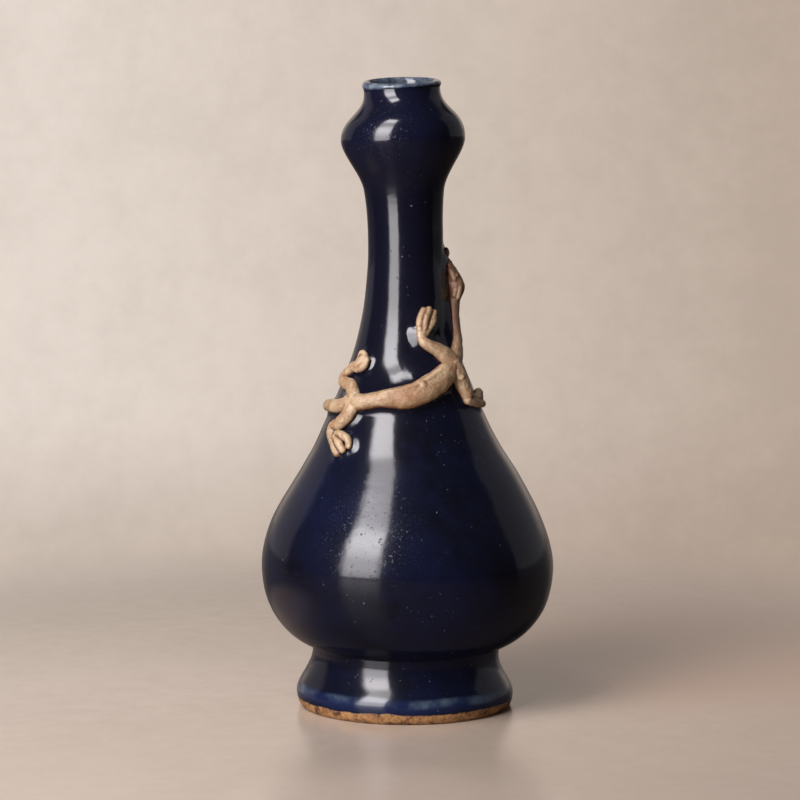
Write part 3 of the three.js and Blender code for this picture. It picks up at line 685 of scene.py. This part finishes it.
def skirt_rise(point, hit, skirt):
    """Rise of slip and glaze at a point of the wall, from the nearest point of the clay."""
    gap = max(hit[3], 1e-3)
    under = min(max((hit[0].z - point.z) / gap * 0.5 + 0.5, 0), 1)
    reach = skirt.above + (skirt.below - skirt.above) * under * under * (3 - 2 * under)
    near = 1 - gap / reach
    share = ((near + math.sqrt(near * near + SKIRT_BLEND)) / 2) ** skirt.power
    full = min(max((DRAGON_Z + skirt.thin - point.z) / SKIRT_FADE + 0.5, LEAST_SKIRT), 1)
    bead = BEAD_HEIGHT * math.exp(-(gap / BEAD_REACH) ** BEAD_POWER)
    return skirt.height * full * share + bead


def pool(points):
    """Rise of slip and glaze round the clay for a grid of wall points."""
    rise = np.zeros(points.shape[:2])
    for name, obj in dragon.items():
        skirt = SKIRTS[name]
        co = vertex_array(obj.data, "co") / MM
        tree = BVHTree.FromPolygons([Vector(v) for v in co.tolist()], [tuple(p.vertices) for p in obj.data.polygons])
        margin = max(skirt.above, skirt.below) * SKIRT_MARGIN
        in_reach = ((points > co.min(axis=0) - margin) & (points < co.max(axis=0) + margin)).all(axis=2)
        for i, j in np.argwhere(in_reach):
            point = Vector(points[i, j])
            hit = tree.find_nearest(point, margin)
            if hit[0] is not None:
                rise[i, j] = max(rise[i, j], skirt_rise(point, hit, skirt))
    return blur(rise)


def blur(grid):
    """A grid of closed columns, blurred a little."""
    for _ in range(SKIRT_BLURS):
        grid = (np.roll(grid, 1, axis=1) + 2 * grid + np.roll(grid, -1, axis=1)) / 4
        grid[1:-1] = (grid[:-2] + 2 * grid[1:-1] + grid[2:]) / 4
    return grid


def build_vessel():
    foot = foot_outline()
    recess_top = WAIST_RADIUS - FOOT_WALL
    recess = swell((REST_RADIUS - FOOT_WALL, 0), (recess_top, WAIST_Z), FOOT_SWEEP, ROWS["recess"])
    ceiling = straight((recess_top, WAIST_Z), (recess_top, CREASE_Z), ROWS["ceiling"])
    recess = join(recess, ceiling)[::-1]
    rest = straight(recess[-1], foot[0], ROWS["rest"])
    outer = ring_points(join(recess, rest, foot, *OUTER.values(), collar_outline()))
    outer = warp(outer + surface_normals(outer) * pool(warp(outer))[..., None])
    normals = surface_normals(outer)
    counts = [len(recess) - 1 + ROWS["rest"], len(foot) - 1] + [len(line) - 1 for line in OUTER.values()]
    marks = np.cumsum([0] + counts)
    made = {}

    def outer_rows(first, last):
        return outer[first:last + 1], normals[first:last + 1]

    def inner_rows(line):
        rows = warp(ring_points(line, rippled=False))
        return rows, surface_normals(rows)

    def piece(name, *groups, poles=()):
        rows = np.concatenate([g[0] for g in groups])
        norms = np.concatenate([g[1] for g in groups])
        made[name] = shell(name, rows, norms, poles)

    under = straight((POLE_RADIUS, CREASE_Z), (recess_top, CREASE_Z), ROWS["bottom"])
    seam = np.array([(recess_top, CREASE_Z), (WAIST_RADIUS - SEAM_STEP, CREASE_Z)])
    bowl_wall = inside(WIDEST_Z, FLOOR_Z + FLOOR_TURN_HEIGHT, ROWS["bowl_inside"])
    bore = float(INNER[-1, 0])
    mouth = np.array([(bore + MOUTH_STEP[0], COLLAR_Z + MOUTH_STEP[1]), (bore, COLLAR_Z)])
    piece("foot", outer_rows(0, marks[2]))
    piece("bowl", inner_rows(join(under, seam)), outer_rows(marks[2], marks[3]),
          inner_rows(join(bowl_wall, floor_outline()[:-1])), poles=[(0, 0, CREASE_Z), (0, 0, FLOOR_Z)])
    piece("shoulder", outer_rows(marks[3], marks[4]),
          inner_rows(inside(NECK_ROOT_Z, WIDEST_Z, ROWS["shoulder_inside"])))
    piece("long_neck", outer_rows(marks[4], marks[5]),
          inner_rows(inside(HEAD_SEAM_Z, NECK_ROOT_Z, ROWS["neck_inside"])))
    piece("bulb", outer_rows(marks[5], marks[6]), inner_rows(inside(COLLAR_Z, HEAD_SEAM_Z, ROWS["head_inside"])))
    piece("collar", outer_rows(marks[6], len(outer) - 1), inner_rows(mouth))
    return made


vessel = build_vessel()
VESSEL_NODES = {"foot": "foot_ring", "bowl": "lower_belly", "shoulder": "upper_belly", "long_neck": "neck",
                "bulb": "garlic_head", "collar": "mouth_collar"}


# Materials

class Nodes:
    """Short calls for the nodes of a material, or of the world."""

    def __init__(self, tree, coordinates="Object"):
        self.tree = tree
        self.shader = tree.nodes.get("Principled BSDF")
        self.place = self.add("ShaderNodeTexCoord").outputs[coordinates]

    def add(self, kind, **settings):
        node = self.tree.nodes.new(kind)
        for key, value in settings.items():
            setattr(node, key, value)
        return node

    def link(self, source, target):
        if isinstance(source, (int, float, tuple)):
            target.default_value = source
        else:
            self.tree.links.new(source, target)

    def math(self, operation, a, b=0.0):
        node = self.add("ShaderNodeMath", operation=operation)
        self.link(a, node.inputs[0])
        self.link(b, node.inputs[1])
        return node.outputs[0]

    def times(self, a, b):
        return self.math("MULTIPLY", a, b)

    def noise(self, scale, detail=3, roughness=0.5, distortion=0.0):
        node = self.add("ShaderNodeTexNoise")
        node.inputs["Scale"].default_value = scale
        node.inputs["Detail"].default_value = detail
        node.inputs["Roughness"].default_value = roughness
        node.inputs["Distortion"].default_value = distortion
        self.link(self.place, node.inputs["Vector"])
        return node.outputs["Fac"]

    def waver(self, scale, detail, depth):
        """A length that wavers by depth in all about nought."""
        return self.times(self.math("SUBTRACT", self.noise(scale, detail, 0.6), 0.5), depth)

    def ramp(self, source, low, high, low_value=0.0, high_value=1.0):
        node = self.add("ShaderNodeMapRange", interpolation_type="SMOOTHSTEP")
        self.link(source, node.inputs["Value"])
        for key, value in (("From Min", low), ("From Max", high), ("To Min", low_value), ("To Max", high_value)):
            node.inputs[key].default_value = value
        return node.outputs["Result"]

    def band(self, source, edges):
        """A share that is whole between two edges, each of them a pair of where it is nought and where it is whole."""
        return self.times(self.ramp(source, *edges[0]), self.ramp(source, *edges[1]))

    def mix(self, share, a, b, blend="MIX"):
        node = self.add("ShaderNodeMix", data_type="RGBA", blend_type=blend)
        self.link(share, node.inputs["Factor"])
        self.link(a, node.inputs["A"])
        self.link(b, node.inputs["B"])
        return node.outputs["Result"]

    def over(self, share, strength, colour, paint):
        """A colour with paint on it, as far as the share and the strength say."""
        return self.mix(self.times(share, strength), colour, paint)

    def axis(self, which):
        node = self.add("ShaderNodeSeparateXYZ")
        self.link(self.place, node.inputs[0])
        return node.outputs[which]

    def near(self, centre, reach):
        """A share that is whole round a point and gone at the reach, in metres."""
        node = self.add("ShaderNodeVectorMath", operation="DISTANCE")
        self.link(self.place, node.inputs[0])
        node.inputs[1].default_value = centre
        return self.ramp(node.outputs["Value"], reach, reach * 0.35)

    def attribute(self, name):
        return self.add("ShaderNodeAttribute", attribute_name=name).outputs["Fac"]

    def bump(self, height, strength, distance, normal=None):
        node = self.add("ShaderNodeBump")
        node.inputs["Strength"].default_value = strength
        node.inputs["Distance"].default_value = distance
        self.link(height, node.inputs["Height"])
        if normal is not None:
            self.link(normal, node.inputs["Normal"])
        return node.outputs["Normal"]


def new_material(name):
    material = bpy.data.materials.new(name)
    material.use_nodes = True
    return material, Nodes(material.node_tree)


def srgb(r, g, b):
    def linear(v):
        v /= 255
        return v / 12.92 if v <= 0.04045 else ((v + 0.055) / 1.055) ** 2.4
    return (linear(r), linear(g), linear(b), 1.0)


def glaze_material():
    material, m = new_material("cobalt_glaze")
    z = m.axis("Z")
    edge = m.waver(38, 4, 0.004)
    height = m.math("ADD", z, edge)

    # Deep glaze with clouds and grains, and blacker up the neck.
    deep = m.mix(m.ramp(m.noise(22, 4, 0.55), 0.35, 0.7), srgb(10, 10, 19), srgb(12, 16, 36))
    deep = m.over(m.ramp(m.noise(140, 5, 0.65), 0.35, 0.75), 0.3, deep, srgb(19, 24, 50))
    neck = m.times(m.ramp(z, 0.112, 0.150), m.ramp(z, 0.226, 0.204, 0.45, 1.0))
    deep = m.mix(neck, deep, srgb(12, 12, 24))
    deep = m.over(m.ramp(m.noise(1500, 2, 0.6), 0.62, 0.72), 0.2, deep, srgb(40, 44, 74))

    # Thin over the foot's roll, with a broken pale line.
    colour = m.over(m.band(height, THIN_FOOT), 0.5, deep, srgb(27, 40, 80))
    broken = m.ramp(m.noise(48, 4, 0.6), 0.46, 0.7, 0.0, 0.8)
    colour = m.over(m.band(height, PALE_LINE), broken, colour, srgb(84, 100, 112))

    # Thin over the lip, which the kiln has moved and tipped.
    across, back = m.math("ADD", m.axis("X"), LIP_SHIFT), m.axis("Y")
    lip_height = m.math("SUBTRACT", m.math("ADD", z, m.times(edge, 0.2)), m.times(across, LIP_TIP))
    from_axis = m.math("SQRT", m.math("ADD", m.times(across, across), m.times(back, back)))
    lip = m.times(m.ramp(lip_height, *LIP_EDGE), m.ramp(from_axis, *LIP_BORE, 0.55, 1.0))
    lip_tone = m.mix(m.ramp(m.noise(260, 4, 0.65), 0.35, 0.65), srgb(52, 62, 84), srgb(112, 124, 134))
    colour = m.over(lip, 0.85, colour, lip_tone)

    # Bare clay at the resting ring.
    bare_height = m.math("ADD", m.math("ADD", z, m.waver(28, 3, 0.003)), m.waver(240, 3, 0.0014))
    bare = m.ramp(bare_height, *BARE_RING)
    clay = m.mix(m.ramp(m.noise(420, 4, 0.75), 0.38, 0.66), srgb(174, 130, 82), srgb(126, 82, 44))
    clay = m.over(m.ramp(m.noise(250, 4, 0.8), 0.52, 0.60), 0.85, clay, srgb(68, 38, 22))
    colour = m.mix(bare, colour, clay)

    # Dust, and the fine scratches of the places that are rubbed the most.
    worn = m.math("MAXIMUM", *[m.near(centre, reach) for centre, reach in WORN_PATCHES])
    dust = m.times(m.ramp(m.noise(900, 0), 0.80, 0.84), m.ramp(m.noise(60, 2), 0.52, 0.6))
    colour = m.over(dust, 0.45, colour, srgb(104, 106, 120))
    scratch = m.times(m.ramp(m.noise(1500, 2, 0.8), 0.58, 0.66), worn)
    colour = m.over(scratch, 0.25, colour, srgb(64, 66, 90))
    m.link(colour, m.shader.inputs["Base Color"])

    smudge = m.ramp(m.noise(60, 3, 0.6), 0.3, 0.8, 0.1, 0.17)
    rubbed = m.times(m.times(m.ramp(m.noise(680, 2, 0.6), 0.64, 0.68), worn), 0.4)
    rough = m.math("ADD", m.math("ADD", m.times(bare, 0.6), smudge), rubbed)
    m.link(rough, m.shader.inputs["Roughness"])
    m.shader.inputs["IOR"].default_value = 1.5
    m.shader.inputs["Coat Weight"].default_value = 0.055
    m.shader.inputs["Coat Roughness"].default_value = 0.38

    peel = m.bump(m.noise(170, 2, 0.5), 0.1, 0.0006)
    pits = m.ramp(m.noise(620, 1, 0.5), 0.76, 0.8)
    pitted = m.bump(m.times(pits, -1.0), 0.5, 0.0002, peel)
    gritty = m.bump(m.times(m.noise(1100, 4, 0.75), bare), 0.7, 0.0004, pitted)
    m.link(gritty, m.shader.inputs["Normal"])
    return material


def biscuit_material():
    material, m = new_material("dragon_biscuit")
    colour = m.mix(m.ramp(m.noise(170, 3, 0.6), 0.35, 0.68), srgb(172, 148, 118), srgb(144, 114, 84))
    stain = m.ramp(m.noise(300, 5, 0.7, 0.6), 0.47, 0.66)
    colour = m.over(stain, 0.6, colour, srgb(144, 92, 54))
    grains = m.ramp(m.noise(1300, 3, 0.65), 0.5, 0.7)
    colour = m.over(grains, 0.4, colour, srgb(110, 76, 52))
    # Painted highlight on the crests of the clay.
    colour = m.over(m.attribute("crest_highlight"), 0.3, colour, srgb(214, 194, 158))
    colour = m.over(m.attribute("near_glaze"), 0.85, colour, srgb(112, 60, 30))
    # Painted shade in the crevices of the clay.
    colour = m.over(m.attribute("crevice_shade"), 0.9, colour, srgb(84, 46, 26))
    pores = m.ramp(m.noise(800, 2, 0.5), 0.68, 0.74)
    colour = m.over(pores, 0.8, colour, srgb(70, 44, 30))

    # The dragon's neck and head are darkened with painted shade and some toasting, the middle of its back is dark and
    # its shoulder is pale.
    head_shade_and_toast = m.times(m.ramp(m.axis("Z"), *HEAD_SHADE_AND_TOAST_Z), m.ramp(m.axis("X"), *HEAD_SHADE_AND_TOAST_X))
    colour = m.over(head_shade_and_toast, 0.62, colour, srgb(84, 52, 36))
    colour = m.over(m.near(*DARK_PATCH), 0.5, colour, srgb(138, 96, 58))
    colour = m.over(m.near(*PALE_PATCH), 0.6, colour, srgb(214, 184, 148))
    m.link(colour, m.shader.inputs["Base Color"])
    m.link(m.ramp(m.noise(300, 3, 0.5), 0.3, 0.8, 0.38, 0.6), m.shader.inputs["Roughness"])
    grain = m.bump(m.noise(900, 4, 0.65), 0.5, 0.0004)
    m.link(m.bump(m.noise(300, 4, 0.65), 0.5, 0.0012, grain), m.shader.inputs["Normal"])
    return material


def iron_material():
    material, m = new_material("iron_spot")
    m.link(m.mix(m.noise(700, 3), srgb(88, 52, 32), srgb(140, 92, 60)), m.shader.inputs["Base Color"])
    m.shader.inputs["Roughness"].default_value = 0.5
    m.link(m.bump(m.noise(900, 3), 0.3, 0.0003), m.shader.inputs["Normal"])
    return material


def neighbour_mean(mesh, co, rounds):
    """The vertices' places, each taken the given number of times to the mean of its neighbours."""
    edges = np.empty(len(mesh.edges) * 2, int)
    mesh.edges.foreach_get("vertices", edges)
    count = np.bincount(edges, minlength=len(co))
    a, b = edges.reshape(-1, 2).T
    mean = co
    for _ in range(rounds):
        total = np.zeros_like(mean)
        np.add.at(total, a, mean[b])
        np.add.at(total, b, mean[a])
        mean = total / np.maximum(count, 1)[:, None]
    return mean


def mark_clay(obj, rise):
    """Shares for each vertex of a clay piece: how near the glaze it is, how deep in a hollow for painted shade, how
    high on a ridge for a painted highlight.
    """
    mesh = obj.data
    co = vertex_array(mesh, "co") / MM
    gap = np.hypot(co[:, 0], co[:, 1]) - wall_radius(co[:, 2])
    gap += GLAZE_WANDER * clay_noise(co, *WANDER_NOISE) - rise - GLAZE_CLEARANCE
    hollow = ((neighbour_mean(mesh, co, HOLLOW_ROUNDS) - co) * vertex_array(mesh, "normal")).sum(axis=1)
    shares = {
        "near_glaze": 1 - np.clip(gap / NEAR_GLAZE, 0, 1),
        # Shares for painted shade in the hollows and a painted highlight on the crests.
        "crevice_shade": np.clip((hollow - CREVICE_SHADE_FROM) / HOLLOW_SPAN, 0, 1),
        "crest_highlight": np.clip((-hollow - CREST_HIGHLIGHT_FROM) / HOLLOW_SPAN, 0, 1),
    }
    for key, share in shares.items():
        layer = mesh.attributes.new(key, "FLOAT", "POINT")
        layer.data.foreach_set("value", share.astype(np.float32))


glaze = glaze_material()
biscuit = biscuit_material()
iron = iron_material()

for name, obj in vessel.items():
    obj.data.materials.append(glaze)
    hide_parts(VESSEL_NODES[name])
    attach(obj, "root")

for name, obj in dragon.items():
    obj.name = "clay_" + name
    mark_clay(obj, SKIRTS[name].height)
    is_eye = name.startswith("eye")
    obj.data.materials.append(iron if is_eye else biscuit)
    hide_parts(name)
    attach(obj, "root")


# Studio

def stage_mesh(name, corners, material):
    mesh = bpy.data.meshes.new(name)
    mesh.from_pydata(corners, [], [(0, 1, 2, 3)])
    mesh.materials.append(material)
    obj = bpy.data.objects.new(name, mesh)
    bpy.context.scene.collection.objects.link(obj)
    return obj


def floor_material():
    """Pale paper with painted light and shade round the vase, that fades into the backdrop at the back, and is dim in
    the glaze except at the left.
    """
    material, m = new_material("floor_paper")
    fine = m.noise(90, 5, 0.75)
    mottle = m.math("ADD", m.times(m.noise(6, 5, 0.6), 0.6), m.times(fine, 0.4))
    spots = m.ramp(mottle, 0.35, 0.65)
    # Painted light and shade: the paper is lighter at the left, towards the softbox, and darker at the right.
    left = m.mix(spots, srgb(199, 185, 169), srgb(209, 195, 179))
    right = m.mix(spots, srgb(184, 163, 144), srgb(195, 174, 155))
    paper = m.mix(m.ramp(m.axis("X"), -0.22, 0.2), left, right)
    # Painted shade towards the front, where the vase darkens the paper in front of it.
    paper = m.mix(m.ramp(m.axis("Y"), 0.05, -0.2, 0.0, 0.42), paper, srgb(146, 134, 121))
    # Painted shade: a warmer, darker tint over the vase's cast shadow at the right.
    paper = m.over(m.near((0.11, 0.10, 0), 0.15), 0.8, paper, srgb(184, 150, 126))
    # Painted light: a paler patch just in front of the vase.
    paper = m.over(m.near((-0.004, -0.165, 0), 0.075), 0.36, paper, srgb(222, 204, 190))
    mirrored = m.mix(m.near((-0.14, 0.04, 0), 0.12), srgb(84, 76, 70), srgb(168, 150, 138))
    path = m.add("ShaderNodeLightPath")
    m.link(m.mix(path.outputs["Is Glossy Ray"], paper, mirrored), m.shader.inputs["Base Color"])
    m.shader.inputs["Roughness"].default_value = 0.24
    m.link(m.ramp(path.outputs["Is Glossy Ray"], 0, 1, 1.0, 0.1), m.shader.inputs["Specular IOR Level"])
    m.link(m.bump(fine, 0.15, 0.0004), m.shader.inputs["Normal"])
    far = m.add("ShaderNodeVectorMath", operation="LENGTH")
    m.link(m.place, far.inputs[0])
    blend = m.add("ShaderNodeMixShader")
    m.link(m.times(m.ramp(far.outputs["Value"], *FLOOR_FADE), path.outputs["Is Camera Ray"]), blend.inputs[0])
    m.link(m.shader.outputs[0], blend.inputs[1])
    m.link(m.add("ShaderNodeBsdfTransparent").outputs[0], blend.inputs[2])
    m.link(blend.outputs[0], m.tree.nodes["Material Output"].inputs["Surface"])
    return material


corners = [(x * FLOOR_REACH, y * FLOOR_REACH, 0) for x, y in ((-1, -1), (1, -1), (1, 1), (-1, 1))]
stage_mesh("floor", corners, floor_material())


def key_material():
    material, m = new_material("softbox_cloth")
    across, up = m.axis("X"), m.axis("Y")
    rise = m.times(m.ramp(up, *CLOTH_FOOT), m.ramp(up, *CLOTH_LOWER))
    dip = m.math("SUBTRACT", 1.0, m.times(m.band(up, CLOTH_DIP), DIP_DEPTH))
    fall = m.times(dip, m.ramp(up, *CLOTH_HEAD))
    slanted = m.math("SUBTRACT", across, m.times(up, CLOTH_SLANT))
    sides = m.times(m.ramp(slanted, *CLOTH_LEFT), m.ramp(across, *CLOTH_RIGHT))
    cloth = m.times(m.times(rise, fall), sides)
    m.shader.inputs["Base Color"].default_value = (0, 0, 0, 1)
    m.shader.inputs["Emission Color"].default_value = (1.0, 0.96, 0.99, 1)
    m.link(m.times(cloth, KEY_PEAK), m.shader.inputs["Emission Strength"])
    return material


def key_corner(end, side):
    azimuth, distance, height = end
    a = math.radians(azimuth)
    across = math.radians(KEY_FOOT[0])
    x = distance * math.sin(a) + side * KEY_HALF_WIDTH * math.cos(across)
    y = -distance * math.cos(a) + side * KEY_HALF_WIDTH * math.sin(across)
    return Vector((x, y, height))


def stand_softbox():
    """A unit sheet whose own axes run across it and up it, so that its cloth can be shaded by them."""
    foot = (key_corner(KEY_FOOT, -1) + key_corner(KEY_FOOT, 1)) / 2
    head = (key_corner(KEY_HEAD, -1) + key_corner(KEY_HEAD, 1)) / 2
    side = key_corner(KEY_FOOT, 1) - foot
    rise = head - foot
    out = side.cross(rise)
    sheet = stage_mesh("softbox", [(-1, 0, 0), (1, 0, 0), (1, 1, 0), (-1, 1, 0)], key_material())
    sheet.matrix_world = Matrix((
        (side.x, rise.x, out.x, foot.x),
        (side.y, rise.y, out.y, foot.y),
        (side.z, rise.z, out.z, foot.z),
        (0, 0, 0, 1)))
    sheet.visible_camera = False


stand_softbox()


def studio_world():
    """The backdrop that the camera sees, and the dim room that the glaze mirrors."""
    world = bpy.data.worlds.new("studio")
    bpy.context.scene.world = world
    world.use_nodes = True
    m = Nodes(world.node_tree, "Generated")
    x, y, z = m.axis("X"), m.axis("Y"), m.axis("Z")

    # Painted light on the backdrop: lighter at the left, where the softbox shines, and darker towards the bottom.
    sheet = m.mix(m.ramp(x, -0.13, 0.14), srgb(228, 215, 205), srgb(186, 169, 155))
    sheet = m.over(m.ramp(z, -0.126, -0.171), 0.4, sheet, srgb(162, 140, 124))
    grain = m.math("ADD", m.times(m.noise(14, 6, 0.68), 0.7), m.times(m.noise(160, 4, 0.7), 0.3))
    shade = m.mix(m.ramp(grain, 0.36, 0.64), (0.94, 0.935, 0.93, 1), (1.04, 1.04, 1.04, 1))
    backdrop = m.mix(1.0, sheet, shade, blend="MULTIPLY")

    above = m.ramp(z, *BOARD_TOP)
    right_board = m.times(m.ramp(x, 0.5, 0.56), m.ramp(y, 0.10, 0.14))
    left_board = m.times(m.ramp(x, -0.5, -0.56), m.ramp(y, 0.30, 0.40))
    far_wall = m.mix(m.band(z, FAR_WALL_GLOW), (0.42, 0.34, 0.3, 1), (0.66, 0.56, 0.49, 1))
    room = m.over(right_board, above, (0.028, 0.028, 0.032, 1), (0.2, 0.19, 0.21, 1))
    room = m.over(left_board, above, room, (0.3, 0.28, 0.3, 1))
    room = m.over(m.ramp(y, 0.76, 0.92), above, room, far_wall)
    path = m.add("ShaderNodeLightPath")
    room = m.mix(path.outputs["Is Diffuse Ray"], room, (1.04, 0.92, 0.8, 1), blend="MULTIPLY")
    seen = m.mix(path.outputs["Is Camera Ray"], room, backdrop)
    m.link(seen, m.tree.nodes["Background"].inputs["Color"])


studio_world()

camera_data = bpy.data.cameras.new("camera")
camera_data.sensor_width = 36
camera_data.lens = CAMERA_LENS
camera = bpy.data.objects.new("camera", camera_data)
camera.location = CAMERA_PLACE
camera.rotation_euler = (math.radians(90 - CAMERA_PITCH), 0, 0)
bpy.context.scene.collection.objects.link(camera)
bpy.context.scene.camera = camera
bpy.context.scene.view_settings.view_transform = "Standard"
